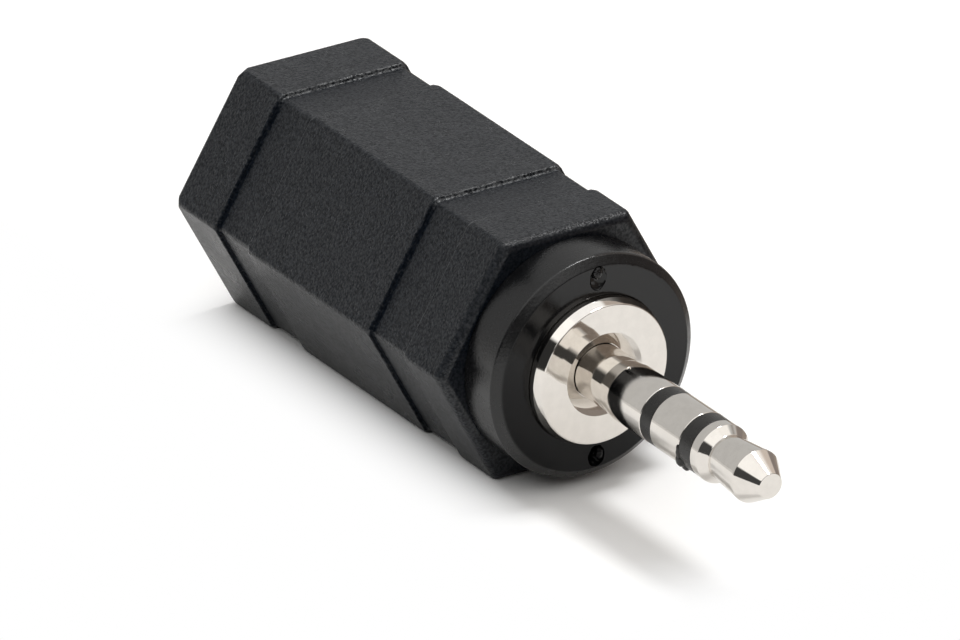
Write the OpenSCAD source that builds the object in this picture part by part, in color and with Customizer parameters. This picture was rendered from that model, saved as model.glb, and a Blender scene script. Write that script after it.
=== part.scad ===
// Audio jack adapter: a 3.5 mm stereo socket in a hexagonal plastic body, with a 2.5 mm stereo plug
// standing out of a round collar at its front. It lies on one flat of the body.
// Along the axis, "at" values are measured from the plug's shoulder, positive towards the tip.

/* [Housing] */
// Width of the hexagonal bands across their flats
band_af = 10.4; // [10.2:0.1:12]
// Depth of the two grooves between the bands
groove_depth = 0.16; // [0.1:0.02:0.3]
// Length of the band at the socket end
rear_band_len = 2.95; // [2:0.05:3.5]
// Length of the groove next to it
rear_groove_len = 2.2; // [1.5:0.05:3]
// Length of the long middle band
middle_band_len = 8.75; // [8.75:0.05:11]
// Length of the groove towards the plug
front_groove_len = 2.4; // [1.5:0.05:3]
// Length of the band at the plug end
front_band_len = 2.6; // [2:0.05:3.5]
// Radius of the steps between bands and grooves
step_r = 0.15; // [0.15:0.05:0.8]
// Radius on the flats at the socket end
rear_r = 0.2; // [0.1:0.05:0.5]
// Radius on the flats at the plug end
front_r = 0.4; // [0.2:0.05:0.7]
// Turned rounding of the six corners at the socket end
rear_corner_r = 0.25; // [0.15:0.05:0.7]
// Radius on the six long edges
corner_r = 0.15; // [0.1:0.05:0.8]

/* [Collar and shoulder ring] */
// Diameter of the round collar
collar_d = 9.6; // [8.8:0.05:10]
// How far the collar's face stands in front of the housing
collar_len = 2.13; // [1.9:0.01:3]
// Radius on the collar's front edge
collar_edge_r = 0.4; // [0.3:0.05:0.7]
// Diameter of the shoulder ring at its widest
ring_d = 6.28; // [5.6:0.02:6.6]
// Height of the shoulder ring above the collar's face
ring_rise = 0.67; // [0.5:0.01:0.8]
// Width of the bevel round the shoulder ring's face
ring_bevel = 0.15; // [0.05:0.01:0.25]
// Length of that bevel along the axis
ring_bevel_len = 0.39; // [0.1:0.01:0.45]
// Diameter of the countersink's mouth
countersink_d = 3.56; // [3:0.02:4]
// Width of the notches at the top and bottom of the collar's face
notch_w = 0.8; // [0.5:0.05:1.1]

/* [Plug] */
// Diameter of the plug
plug_d = 2.5; // [2.5:0.01:2.52]
// Diameter of the neck behind the sleeve contact
neck_d = 2.34; // [2.3:0.01:2.4]
// Distance from the shoulder to the full diameter of the sleeve contact
sleeve_at = 1.97; // [1.6:0.01:2.2]
// Distance from the shoulder to the first insulating ring
insulator_1_at = 4.24; // [4:0.01:4.4]
// Distance from the shoulder to the ring contact
ring_contact_at = 4.95; // [4.7:0.01:5.1]
// Distance from the shoulder to the second insulating ring
insulator_2_at = 6.93; // [6.6:0.01:7.1]
// Distance from the shoulder to the tip contact
tip_at = 7.72; // [7.4:0.01:7.9]
// Distance from the shoulder to the flat end of the plug
plug_len = 11.5; // [11:0.05:11.9]
// Diameter of the tip's waist
waist_d = 1.88; // [1.6:0.02:2]
// Diameter of the tip's head
head_d = 2.26; // [2.1:0.02:2.4]
// Diameter of the flat end
nose_d = 1.08; // [0.8:0.02:1.3]

/* [Socket] */
// Diameter of the socket's bore in the entry bush
socket_d = 3.6; // [3.52:0.02:3.7]
// Depth of the socket from the rear face
socket_depth = 14.2; // [14:0.05:14.4]
// Length of the entry bush
bush_len = 5; // [4:0.1:5.5]
// Thickness of the spring strip
strip_t = 0.2; // [0.15:0.01:0.22]
// Width of the spring strip
strip_w = 1.4; // [1.2:0.05:1.5]

/* [Hidden] */
$fn = 96;

// Places along the axis, from the shoulder: each band or groove is named at its end nearest the plug
collar_face_at = -ring_rise;
housing_front_at = collar_face_at - collar_len;
front_groove_at = housing_front_at - front_band_len;
middle_band_at = front_groove_at - front_groove_len;
rear_groove_at = middle_band_at - middle_band_len;
rear_band_at = rear_groove_at - rear_groove_len;
housing_rear_at = rear_band_at - rear_band_len;

// The model's origin: under the middle of the whole length, on the surface it lies on
axis_h = band_af / 2;
shoulder_x = -(plug_len + housing_rear_at) / 2;

// Housing
rear_wall = 1.2;
cavity_r = 3.9;
cavity_rear_at = housing_rear_at + rear_wall;
slab_w = 2 * band_af;
corner_clearance = 0.02;
band_corner_r = (band_af / 2 - corner_r) / cos(30) + corner_r + corner_clearance;
groove_corner_break = 0.05;
groove_corner_r = band_corner_r - groove_depth / cos(30) - groove_corner_break;
corner_run = 0.3;
step_half = sqrt(step_r * groove_depth - pow(groove_depth, 2) / 4);
step_turn = asin(step_half / step_r);
step_steps = 3;
end_steps = 3;
corner_steps = 4;

// Shoulder ring and collar
ring_t = 1.3;
ring_rear_at = -ring_t;
countersink_floor_d = 2.56;
countersink_floor_at = -0.375;
ring_grip_at = -0.6;
spigot_rear_at = housing_front_at - 1.75;
notch_in_r = 3.4;
notch_depth = 0.3;
notch_out_r = 4.45;
gate_r = 0.3;

// Plug: radii of the nested tubes, from the rod outwards
rod_r = 0.3;
ring_insulator_r = 0.48;
ring_tube_r = 0.68;
sleeve_bore_r = 0.86;
plug_r = plug_d / 2;
neck_r = neck_d / 2;
neck_end_at = sleeve_at - 0.62;
tip_base_len = 0.48;
waist_at = tip_at + 0.82;
head_at = plug_len - 1.02;

// Grooves in the sleeve's tail, which the collar's plastic fills
grip_grooves_at = [-2, -2.9, -3.8];
grip_len = 0.4;
grip_depth = 0.1;

// Tag rings and washers stacked behind the collar
washer_t = 0.25;
washer_r = 2;
sleeve_lug_at = spigot_rear_at - strip_t;
ring_washer_at = sleeve_lug_at - washer_t;
ring_lug_at = ring_washer_at - strip_t;
tip_washer_at = ring_lug_at - washer_t;
tip_lug_at = tip_washer_at - strip_t;
rivet_at = tip_lug_at - 0.25;
rivet_r = 0.62;
lug_r = 1.7;
sleeve_lug_r = 2.2;

// Socket: the strips lie in grooves of the carrier, on floors at track_r
carrier_r = 3.85;
carrier_front_at = spigot_rear_at - 2.3;
carrier_bore_r = socket_d / 2 + 0.25;
socket_end_at = housing_rear_at + socket_depth;
track_r = 3.45;
track_w = 1.6;
lap_from_at = tip_lug_at - 0.85;
lap_to_at = spigot_rear_at - 0.4;
slot_front_at = carrier_front_at - 1.4;
bush_r = 2.6;
bush_front_at = housing_rear_at + bush_len;
bush_flange_r = 3.3;
bush_flange_t = 0.55;
bush_flange_front_at = cavity_rear_at + bush_flange_t;
tag_front_at = bush_flange_front_at + strip_t;
bush_lead_in = 0.25;

// Where the springs press on a mating plug, and how far they reach into the bore
ring_contact_depth = 8.6;
tip_contact_depth = 12.25;
press_r = socket_d / 2 - 0.3;
bow_r = 0.45;
hairpin_r = 0.5;
hairpin_at = -13;
ring_slot_rear_at = housing_rear_at + ring_contact_depth - 1.5;
tip_slot_rear_at = hairpin_at - 1;
solder_r = 0.3;

tip_side = 90;
ring_side = -90;
sleeve_side = 0;

// Points of a circular arc, from one angle to another
function arc(centre, r, from, to, steps) =
    [for (i = [0 : steps]) let (t = from + (to - from) * i / steps) centre + r * [cos(t), sin(t)]];

// Unit vector square to the line from a to b, on its left
function left_of(a, b) = [a.y - b.y, b.x - a.x] / norm(b - a);

// Direction and size of the step from a bent line's point to the edge of a strip one unit wide each side
function side_step(p, i) =
    let (before = left_of(p[max(i - 1, 0)], p[max(i, 1)]),
         last = len(p) - 1,
         after = left_of(p[min(i, last - 1)], p[min(i + 1, last)]),
         sum = before + after)
    2 * sum / (sum * sum);

// Outline of a strip of thickness t along a bent centre line
function strip_outline(p, t) =
    let (last = len(p) - 1)
    concat([for (i = [0 : last]) p[i] + t / 2 * side_step(p, i)],
           [for (i = [last : -1 : 0]) p[i] - t / 2 * side_step(p, i)]);

// Rounded step down by the grooves' depth, from height h and with its middle at a place on x
function step_down(at, h) =
    let (less = step_turn * (step_steps - 1) / step_steps)
    concat(arc([at - step_half, h - step_r], step_r, 90, 90 - step_turn, step_steps),
           arc([at + step_half, h - groove_depth + step_r], step_r, 270 - less, 270, step_steps - 1));

// The same step the other way round, back up to height h
function step_up(at, h) = [for (p = step_down(0, h)) [at - p.x, p.y]];

// The points of a line in reverse order
function reversed(p) = [for (i = [len(p) - 1 : -1 : 0]) p[i]];

// Line of the housing's skin in side view, from the socket end to the plug end, at height h on the bands
function skin(h) = concat(
    arc([housing_rear_at + rear_r, h - rear_r], rear_r, 180, 90, end_steps),
    step_down(rear_band_at, h), reversed(step_up(rear_groove_at, h)),
    step_down(middle_band_at, h), reversed(step_up(front_groove_at, h)),
    arc([housing_front_at - front_r, h - front_r], front_r, 90, 0, end_steps));

// Outline of a hexagon with rounded corners, two of them on the y axis
function rounded_hexagon(af, r, steps) =
    [for (k = [0 : 5]) let (t = 30 + 60 * k, d = (af / 2 - r) / cos(30))
        each arc(d * [cos(t), sin(t)], r, t - 30, t + 30, steps)];

// Puts what is modelled about the x axis on the plug's axis
module on_axis() {
    translate([shoulder_x, 0, axis_h]) children();
}

// Turns a profile of radius and place round the plug's axis
module turned() {
    on_axis() rotate([0, 90, 0]) rotate_extrude() children();
}

// A tube or rod on the axis between two places
module turned_block(r_in, r_out, from, to) {
    turned() polygon([[r_in, from], [r_out, from], [r_out, to], [r_in, to]]);
}

// Extrudes a side view drawn as place and radius, on the given side of the axis
module side_view(side, w) {
    on_axis() rotate([side, 0, 0]) linear_extrude(height = w, center = true) children();
}

// A slab between two opposite flats of the housing, with its rounded ends, bands and grooves
module flat_pair(turn) {
    line = skin(band_af / 2);
    on_axis() rotate([turn + 90, 0, 0]) linear_extrude(height = slab_w, center = true)
        polygon(concat(line, [for (p = reversed(line)) [p.x, -p.y]]));
}

// A hexagonal bar as long as the housing, with rounded long edges
module hex_bar() {
    on_axis() translate([housing_rear_at, 0, 0]) rotate([0, 90, 0])
        linear_extrude(height = housing_front_at - housing_rear_at)
            polygon(rounded_hexagon(band_af, corner_r, corner_steps));
}

// Turned cut that breaks the six corners in a groove, running out over the steps at its ends
module corner_cut(from, to) {
    turned() polygon([
        [groove_corner_r, from + corner_run], [groove_corner_r, to - corner_run],
        [band_corner_r, to + corner_run], [band_corner_r + 1, to + corner_run],
        [band_corner_r + 1, from - corner_run], [band_corner_r, from - corner_run]]);
}

// Turned cut that rounds the six corners at the socket end
module rear_corner_cut() {
    turned() polygon(concat(
        [[band_corner_r + 1, housing_rear_at - 1], [band_corner_r - rear_corner_r, housing_rear_at - 1]],
        arc([band_corner_r - rear_corner_r, housing_rear_at + rear_corner_r], rear_corner_r, -90, 0, 4),
        [[band_corner_r + 1, housing_rear_at + rear_corner_r]]));
}

// Housing: hexagonal, with three bands and two shallow grooves, bored out from the front
module hex_shell() color([0.1, 0.11, 0.12]) difference() {
    intersection() {
        flat_pair(0);
        flat_pair(60);
        flat_pair(120);
        hex_bar();
    }
    corner_cut(rear_band_at, rear_groove_at);
    corner_cut(middle_band_at, front_groove_at);
    rear_corner_cut();
    turned_block(0, cavity_r, cavity_rear_at, housing_front_at + 1);
    turned_block(0, bush_r, housing_rear_at - 1, cavity_rear_at + 1);
}

// Collar: round front with a pocket for the shoulder ring, and a spigot that plugs the housing
module plug_collar() color([0.05, 0.05, 0.06]) {
    difference() {
        turned() polygon(concat(
            [[neck_r, spigot_rear_at], [cavity_r, spigot_rear_at], [cavity_r, housing_front_at]],
            [[collar_d / 2, housing_front_at]],
            arc([collar_d / 2 - collar_edge_r, collar_face_at - collar_edge_r], collar_edge_r, 0, 90, 5),
            [[ring_d / 2, collar_face_at], [ring_d / 2, ring_rear_at], [neck_r, ring_rear_at]]));
        notch(0, notch_out_r);
        notch(180, collar_d);
    }
    for (turn = [0, 180]) gate_mark(turn);
    for (at = grip_grooves_at) turned_block(neck_r - grip_depth, neck_r + 0.1, at, at + grip_len);
}

// Shallow radial notch in the collar's face, out to a radius
module notch(turn, out_r) {
    on_axis() rotate([turn, 0, 0])
        translate([collar_face_at - notch_depth, -notch_w / 2, notch_in_r])
            cube([notch_depth + 1, notch_w, out_r - notch_in_r]);
}

// Rough stub left in a notch where the moulding was cut from its runner
module gate_mark(turn) {
    stub_at = collar_face_at - notch_depth - 0.1;
    on_axis() rotate([turn, 0, 0]) {
        translate([stub_at, -0.06, notch_in_r + 0.72]) sphere(gate_r, $fn = 16);
        translate([stub_at - 0.05, 0.1, notch_in_r + 0.4]) sphere(gate_r, $fn = 16);
    }
}

// Shoulder ring: turned disc in the collar's pocket, with a bevelled rim and a countersink
module shoulder_ring() color([0.82, 0.8, 0.77]) turned() polygon([
    [neck_r, ring_rear_at], [ring_d / 2, ring_rear_at], [ring_d / 2, -ring_bevel_len],
    [ring_d / 2 - ring_bevel, 0], [countersink_d / 2, 0],
    [countersink_floor_d / 2, countersink_floor_at], [countersink_floor_d / 2, ring_grip_at],
    [neck_r, ring_grip_at]]);

// Sleeve contact: full diameter in front, neck behind, and a grooved tail that the collar grips
module plug_sleeve() color([0.78, 0.76, 0.72]) difference() {
    turned() polygon([
        [sleeve_bore_r, sleeve_lug_at], [neck_r, sleeve_lug_at], [neck_r, neck_end_at],
        [plug_r, sleeve_at], [plug_r, insulator_1_at], [sleeve_bore_r, insulator_1_at]]);
    for (at = grip_grooves_at) turned_block(neck_r - grip_depth, neck_r + 1, at, at + grip_len);
}

// Insulating tube and ring between the sleeve and the ring contact
module sleeve_insulator() color([0.04, 0.04, 0.04]) turned() polygon([
    [ring_tube_r, sleeve_lug_at], [sleeve_bore_r, sleeve_lug_at], [sleeve_bore_r, insulator_1_at],
    [plug_r, insulator_1_at], [plug_r, ring_contact_at], [ring_tube_r, ring_contact_at]]);

// Ring contact with its tube
module plug_ring() color([0.78, 0.76, 0.72]) turned() polygon([
    [ring_insulator_r, ring_lug_at], [ring_tube_r, ring_lug_at], [ring_tube_r, ring_contact_at],
    [plug_r, ring_contact_at], [plug_r, insulator_2_at], [ring_insulator_r, insulator_2_at]]);

// Insulating tube and ring between the ring contact and the tip
module ring_insulator() color([0.04, 0.04, 0.04]) turned() polygon([
    [rod_r, ring_lug_at], [ring_insulator_r, ring_lug_at], [ring_insulator_r, insulator_2_at],
    [plug_r, insulator_2_at], [plug_r, tip_at], [rod_r, tip_at]]);

// Tip contact: base, waist and head on a rod that ends in a rivet head
module plug_tip() color([0.8, 0.78, 0.75]) turned() polygon([
    [0, rivet_at], [rivet_r - 0.2, rivet_at], [rivet_r, rivet_at + 0.15], [rivet_r, tip_lug_at],
    [rod_r, tip_lug_at], [rod_r, tip_at], [plug_r, tip_at], [plug_r, tip_at + tip_base_len],
    [waist_d / 2, waist_at], [head_d / 2 - 0.01, head_at - 0.1], [head_d / 2, head_at],
    [head_d / 2 - 0.03, head_at + 0.08], [nose_d / 2, plug_len], [0, plug_len]]);

// Side view of a tag's arm: out along the stack, then back towards the socket under the strip
module lug_arm_view(at) {
    polygon([[at, 0.9], [at + strip_t, 0.9], [at + strip_t, track_r], [lap_from_at, track_r],
        [lap_from_at, track_r - strip_t], [at, track_r - strip_t]]);
}

// Tag ring with a bent arm
module lug(at, r_in, r_out, side) {
    difference() {
        union() {
            turned_block(r_in, r_out, at, at + strip_t);
            side_view(side, strip_w) lug_arm_view(at);
        }
        turned_block(0, r_in, at - 1, at + 1);
    }
}

module sleeve_lug() color([0.75, 0.62, 0.3]) lug(sleeve_lug_at, neck_r, sleeve_lug_r, sleeve_side);

module ring_lug() color([0.75, 0.62, 0.3]) lug(ring_lug_at, ring_tube_r, lug_r, ring_side);

module tip_lug() color([0.75, 0.62, 0.3]) lug(tip_lug_at, rod_r, lug_r, tip_side);

// Insulating washer between the sleeve's and the ring contact's tags
module ring_washer() color([0.55, 0.4, 0.25])
    turned_block(ring_tube_r, washer_r, ring_washer_at, sleeve_lug_at);

// Insulating washer between the ring contact's and the tip's tags
module tip_washer() color([0.55, 0.4, 0.25])
    turned_block(rod_r, washer_r, tip_washer_at, ring_lug_at);

// Carrier: cylinder with the socket's bore, a seat for the bush, and three tracks for the strips
module socket_carrier() color([0.12, 0.12, 0.13]) difference() {
    turned_block(0, carrier_r, cavity_rear_at, carrier_front_at);
    turned_block(0, carrier_bore_r, bush_front_at - 1, socket_end_at);
    turned_block(0, bush_r, cavity_rear_at - 1, bush_front_at);
    turned_block(0, bush_flange_r, cavity_rear_at - 1, tag_front_at);
    track(sleeve_side, cavity_rear_at - 1);
    side_slot(sleeve_side, cavity_rear_at - 1, tag_front_at);
    track(ring_side, ring_slot_rear_at);
    track(tip_side, tip_slot_rear_at);
    side_slot(ring_side, ring_slot_rear_at, slot_front_at);
    side_slot(tip_side, tip_slot_rear_at, slot_front_at);
}

// Groove along the outside of the carrier, open towards the plug
module track(side, from) {
    side_view(side, track_w) polygon([[from, track_r], [carrier_front_at + 1, track_r],
        [carrier_front_at + 1, carrier_r + 1], [from, carrier_r + 1]]);
}

// Slot through the wall: room for a spring to give, or for a tag's arm to come out
module side_slot(side, from, to) {
    side_view(side, track_w) polygon([[from, 0], [to, 0], [to, carrier_r + 1], [from, carrier_r + 1]]);
}

// Entry bush: nose through the rear wall, flange behind it, tube into the carrier
module socket_bush() color([0.8, 0.78, 0.74]) turned() polygon([
    [socket_d / 2 + bush_lead_in, housing_rear_at], [bush_r, housing_rear_at], [bush_r, cavity_rear_at],
    [bush_flange_r, cavity_rear_at], [bush_flange_r, bush_flange_front_at],
    [bush_r, bush_flange_front_at], [bush_r, bush_front_at], [socket_d / 2, bush_front_at],
    [socket_d / 2, housing_rear_at + bush_lead_in]]);

// Tag ring in front of the bush's flange, with a long arm to the sleeve's tag
module bush_tag() color([0.75, 0.62, 0.3]) {
    turned_block(bush_r, bush_flange_r, bush_flange_front_at, tag_front_at);
    side_view(sleeve_side, strip_w) polygon([
        [bush_flange_front_at, bush_flange_r - 0.3], [tag_front_at, bush_flange_r - 0.3],
        [tag_front_at, track_r], [lap_to_at, track_r], [lap_to_at, track_r + strip_t],
        [bush_flange_front_at, track_r + strip_t]]);
}

// Contact spring: runs back in its track, then slopes down to a bow that presses on the plug
module ring_spring() color([0.8, 0.68, 0.35]) {
    bow = [housing_rear_at + ring_contact_depth, press_r + strip_t / 2 + bow_r];
    side_view(ring_side, strip_w) polygon(strip_outline(concat(
        [[lap_to_at, track_r + strip_t / 2], [slot_front_at - 0.3, track_r + strip_t / 2],
            [slot_front_at - 0.8, track_r]],
        arc(bow, bow_r, -58, -130, 6), [bow + [-0.75, 0.25]]), strip_t));
}

// Hairpin contact spring: runs back, turns round, and comes forward to its bow
module tip_spring() color([0.8, 0.68, 0.35]) {
    bow = [housing_rear_at + tip_contact_depth, press_r + strip_t / 2 + bow_r];
    bend = [hairpin_at, track_r + strip_t / 2 - hairpin_r];
    side_view(tip_side, strip_w) polygon(strip_outline(concat(
        [[lap_to_at, track_r + strip_t / 2]], arc(bend, hairpin_r, 90, 285, 10),
        arc(bow, bow_r, -110, -40, 6), [bow + [0.7, 0.35]]), strip_t));
}

// Bead of solder in the corner between the end of a tag's arm and the strip above it
module solder(side) {
    difference() {
        side_view(side, strip_w - 0.3) translate([lap_from_at, track_r]) circle(solder_r, $fn = 32);
        side_view(side, strip_w) polygon([[lap_from_at - 1, track_r], [lap_to_at + 1, track_r],
            [lap_to_at + 1, track_r + 1], [lap_from_at - 1, track_r + 1]]);
        side_view(side, strip_w) polygon([[lap_from_at, track_r - strip_t], [lap_to_at, track_r - strip_t],
            [lap_to_at, track_r + 1], [lap_from_at, track_r + 1]]);
    }
}

module sleeve_joint() color([0.7, 0.7, 0.72]) solder(sleeve_side);

module ring_joint() color([0.7, 0.7, 0.72]) solder(ring_side);

module tip_joint() color([0.7, 0.7, 0.72]) solder(tip_side);

hex_shell();
plug_collar();
shoulder_ring();
plug_sleeve();
sleeve_insulator();
plug_ring();
ring_insulator();
plug_tip();
sleeve_lug();
ring_washer();
ring_lug();
tip_washer();
tip_lug();
socket_carrier();
socket_bush();
bush_tag();
ring_spring();
tip_spring();
sleeve_joint();
ring_joint();
tip_joint();
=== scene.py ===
"""Audio jack adapter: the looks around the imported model. Lengths here are in millimetres."""

import math

import bpy
from mathutils import Matrix, Vector


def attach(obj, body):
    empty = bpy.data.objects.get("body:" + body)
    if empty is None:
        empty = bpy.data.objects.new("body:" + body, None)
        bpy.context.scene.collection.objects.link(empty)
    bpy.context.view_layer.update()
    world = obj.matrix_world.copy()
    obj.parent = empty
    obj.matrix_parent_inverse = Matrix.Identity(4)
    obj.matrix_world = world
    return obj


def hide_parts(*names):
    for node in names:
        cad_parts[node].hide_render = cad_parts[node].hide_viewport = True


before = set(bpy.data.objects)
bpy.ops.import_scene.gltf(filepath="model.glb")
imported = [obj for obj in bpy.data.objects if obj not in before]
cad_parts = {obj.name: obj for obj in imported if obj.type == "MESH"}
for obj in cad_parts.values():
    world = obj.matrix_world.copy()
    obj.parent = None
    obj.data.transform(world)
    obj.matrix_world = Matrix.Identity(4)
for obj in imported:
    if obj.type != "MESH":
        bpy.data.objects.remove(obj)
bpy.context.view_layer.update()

bl_info = {
    "name": "Audio jack adapter",
    "version": (1, 0, 0),
    "blender": (4, 5, 0),
    "location": "3D View > Sidebar > Adapter",
    "description": "Models and finishes the pieces of an audio jack adapter",
    "category": "Mesh",
}

MM = 0.001
WELD = 1e-5

# The plug's shoulder and the height of its axis, in the frame
SHOULDER_X = 5.1
AXIS_H = 5.2

# Places along the axis, from the plug's shoulder, as in the part's source
TIP_AT = 7.72
INSULATOR_2_AT = 6.93
RING_CONTACT_AT = 4.95
INSULATOR_1_AT = 4.24
SLEEVE_AT = 1.97
NECK_END_AT = 1.35
COUNTERSINK_FLOOR_AT = -0.375
RING_BEVEL_AT = -0.39
RING_GRIP_AT = -0.6
COLLAR_FACE_AT = -0.67
RING_REAR_AT = -1.3
HOUSING_FRONT_AT = -2.8
SPIGOT_REAR_AT = -4.55
SLEEVE_TAIL_AT = -4.75
RING_TAIL_AT = -5.2
FRONT_GROOVE_AT = -5.4
TIP_TAIL_AT = -5.65
RIVET_AT = -5.9
MIDDLE_BAND_AT = -7.8
REAR_GROOVE_AT = -16.55
BUSH_FRONT_AT = -16.7
REAR_BAND_AT = -18.75
FLANGE_FRONT_AT = -19.95
CAVITY_REAR_AT = -20.5
HOUSING_REAR_AT = -21.7

# Radii, as in the part's source
CAVITY_R = 3.9
FLANGE_R = 3.3
RING_R = 3.14
RING_BEVEL = 0.15
BUSH_R = 2.6
BUSH_MOUTH_R = 2.05
SOCKET_R = 1.8
COUNTERSINK_R = 1.78
PLUG_R = 1.25
COUNTERSINK_FLOOR_R = 1.2
NECK_R = 1.17
SLEEVE_BORE_R = 0.86
RING_TUBE_R = 0.68
RIVET_R = 0.62
RING_INSULATOR_R = 0.48
ROD_R = 0.3

# How far the insulators lie below the contacts, and the rounding of their edges
INSULATOR_DROP = 0.01
INSULATOR_EDGE_R = 0.03

# The tip's outline from its base to the flat end: place along the axis, radius, rounding
TIP_PROFILE = (
    (8.2, PLUG_R, 0.03),
    (8.54, 0.94, 0.08),
    (10.4, 1.13, 0.03),
    (10.48, 1.13, 0.03),
    (11.5, 0.54, 0.04),
)

# Grooves in the sleeve's tail, which the collar's plastic fills
GRIPS_AT = (-3.8, -2.9, -2)
GRIP_LEN = 0.4
GRIP_DEPTH = 0.1

# Half the angle between two sides of the hexagon
HALF_SIDE = math.radians(30)

# Room outside the long edges, run of the turned groove tools, and how much deeper they break the edges
CORNER_CLEARANCE = 0.02
CORNER_RUN = 0.3
CORNER_BREAK = 0.05

# Moulding marks: place along the axis, to the side and above it, half sizes, roughness, seed
TOP_NOTCH = ((0, 0.0, 3.93), 0.54, 0.03, 11)
LOW_NOTCH = ((0, 0.22, -3.92), 0.48, 0.05, 12)
COLLAR_STUBS = (
    ((-0.08, 0.02, 4.12), (0.13, 0.22, 0.26), 0.03, 3),
    ((-0.2, 0.46, -3.92), (0.2, 0.2, 0.3), 0.03, 5),
)
INSULATOR_FLASH = (
    ((6.88, -1.12, -0.12), (0.16, 0.17, 0.4), 0.02, 2),
    ((6.84, -0.98, -0.52), (0.24, 0.26, 0.36), 0.02, 6),
    ((6.88, -0.74, -0.84), (0.2, 0.22, 0.26), 0.02, 9),
)


# Profiles and meshes

def arc(x, y, radius, start, end, steps):
    """Points of a circular arc, with its angles in degrees."""
    turns = [math.radians(start + (end - start) * i / steps) for i in range(steps + 1)]
    return [(x + radius * math.cos(t), y + radius * math.sin(t)) for t in turns]


def rounded(corners, steps=4, closed=True):
    """Points of an outline whose corners (place, radius, rounding) are rounded off."""
    points = []
    last = len(corners) - 1
    for i, (x, y, rounding) in enumerate(corners):
        here = Vector((x, y))
        if not rounding or (not closed and i in (0, last)):
            points.append((x, y))
            continue
        before = (Vector(corners[i - 1][:2]) - here).normalized()
        after = (Vector(corners[(i + 1) % len(corners)][:2]) - here).normalized()
        half = before.angle(after) / 2
        centre = here + (before + after).normalized() * rounding / math.sin(half)
        first = here + before * rounding / math.tan(half) - centre
        final = here + after * rounding / math.tan(half) - centre
        start = math.atan2(first.y, first.x)
        turn = math.remainder(math.atan2(final.y, final.x) - start, math.tau)
        for k in range(steps + 1):
            t = start + turn * k / steps
            points.append((centre.x + rounding * math.cos(t), centre.y + rounding * math.sin(t)))
    return points


def edit(kind="VERT"):
    """Goes into edit mode with everything selected."""
    bpy.ops.object.mode_set(mode="EDIT")
    bpy.ops.mesh.select_mode(type=kind)
    bpy.ops.mesh.select_all(action="SELECT")


def select_only(piece):
    """Makes a piece the only selected object."""
    bpy.ops.object.select_all(action="DESELECT")
    piece.select_set(True)
    bpy.context.view_layer.objects.active = piece


def choose(piece, kind, test):
    """In edit mode, selects the vertices, edges or faces that pass a test."""
    bpy.ops.mesh.select_mode(type=kind)
    bpy.ops.mesh.select_all(action="DESELECT")
    bpy.ops.object.mode_set(mode="OBJECT")
    mesh = piece.data
    items = {"VERT": mesh.vertices, "EDGE": mesh.edges, "FACE": mesh.polygons}[kind]
    for item in items:
        item.select = test(item)
    bpy.ops.object.mode_set(mode="EDIT")


def apply_modifier(piece, kind, **settings):
    """Adds a modifier with these settings and applies it."""
    select_only(piece)
    modifier = piece.modifiers.new(kind.lower(), kind)
    for name, value in settings.items():
        setattr(modifier, name, value)
    bpy.ops.object.modifier_apply(modifier=modifier.name)


def drop(piece):
    """Removes a piece that was only a tool, with its mesh."""
    mesh = piece.data
    bpy.data.objects.remove(piece)
    bpy.data.meshes.remove(mesh)


def cut(piece, cutter, operation="DIFFERENCE"):
    """Takes one piece's shape out of another, or adds it."""
    apply_modifier(piece, "BOOLEAN", object=cutter, operation=operation, solver="EXACT")
    drop(cutter)


def grips():
    """Outline of the grooves in the sleeve's tail, towards the plug."""
    low = NECK_R - GRIP_DEPTH
    return [(at + x, r, 0) for at in GRIPS_AT
            for x, r in ((0, NECK_R), (0, low), (GRIP_LEN, low), (GRIP_LEN, NECK_R))]


def lump(place, size, roughness, seed):
    """A rough blob of moulding plastic; place and half sizes along the axis, to the side and above it."""
    bpy.ops.object.select_all(action="DESELECT")
    middle = Vector(place) + Vector((SHOULDER_X, 0, AXIS_H))
    bpy.ops.mesh.primitive_ico_sphere_add(subdivisions=4, radius=1, scale=size, location=middle)
    piece = bpy.context.active_object
    edit()
    bpy.ops.transform.vertex_random(offset=roughness, uniform=0.2, normal=0.8, seed=seed)
    bpy.ops.mesh.vertices_smooth(factor=0.5, repeat=2)
    bpy.ops.object.mode_set(mode="OBJECT")
    return piece


def profile_line(points, close):
    """Draws an outline in the plane through the axis, by extruding one vertex from point to point."""
    bpy.ops.object.select_all(action="DESELECT")
    x, r = points[0]
    bpy.ops.mesh.primitive_plane_add(size=1, location=(SHOULDER_X + x, 0, AXIS_H + r))
    piece = bpy.context.active_object
    edit()
    bpy.ops.mesh.merge(type="CENTER")
    ends = points[1:] + (points[:1] if close else [])
    for (x0, r0), (x1, r1) in zip(points, ends):
        bpy.ops.mesh.extrude_region_move(TRANSFORM_OT_translate={"value": (x1 - x0, 0, r1 - r0)})
    return piece


def turned(name, points, steps=192, close=True, angle=math.tau):
    """Turns an outline of place and radius round the plug's axis, from above it."""
    piece = profile_line(points, close)
    piece.name = name
    bpy.ops.mesh.select_all(action="SELECT")
    bpy.ops.mesh.remove_doubles(threshold=WELD)
    if abs(angle) < math.tau:
        bpy.ops.mesh.edge_face_add()
    bpy.ops.mesh.spin(steps=steps, angle=angle, center=(0, 0, AXIS_H), axis=(1, 0, 0))
    bpy.ops.mesh.select_all(action="SELECT")
    bpy.ops.mesh.remove_doubles(threshold=WELD)
    bpy.ops.mesh.normals_make_consistent(inside=False)
    bpy.ops.object.mode_set(mode="OBJECT")
    return piece


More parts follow.
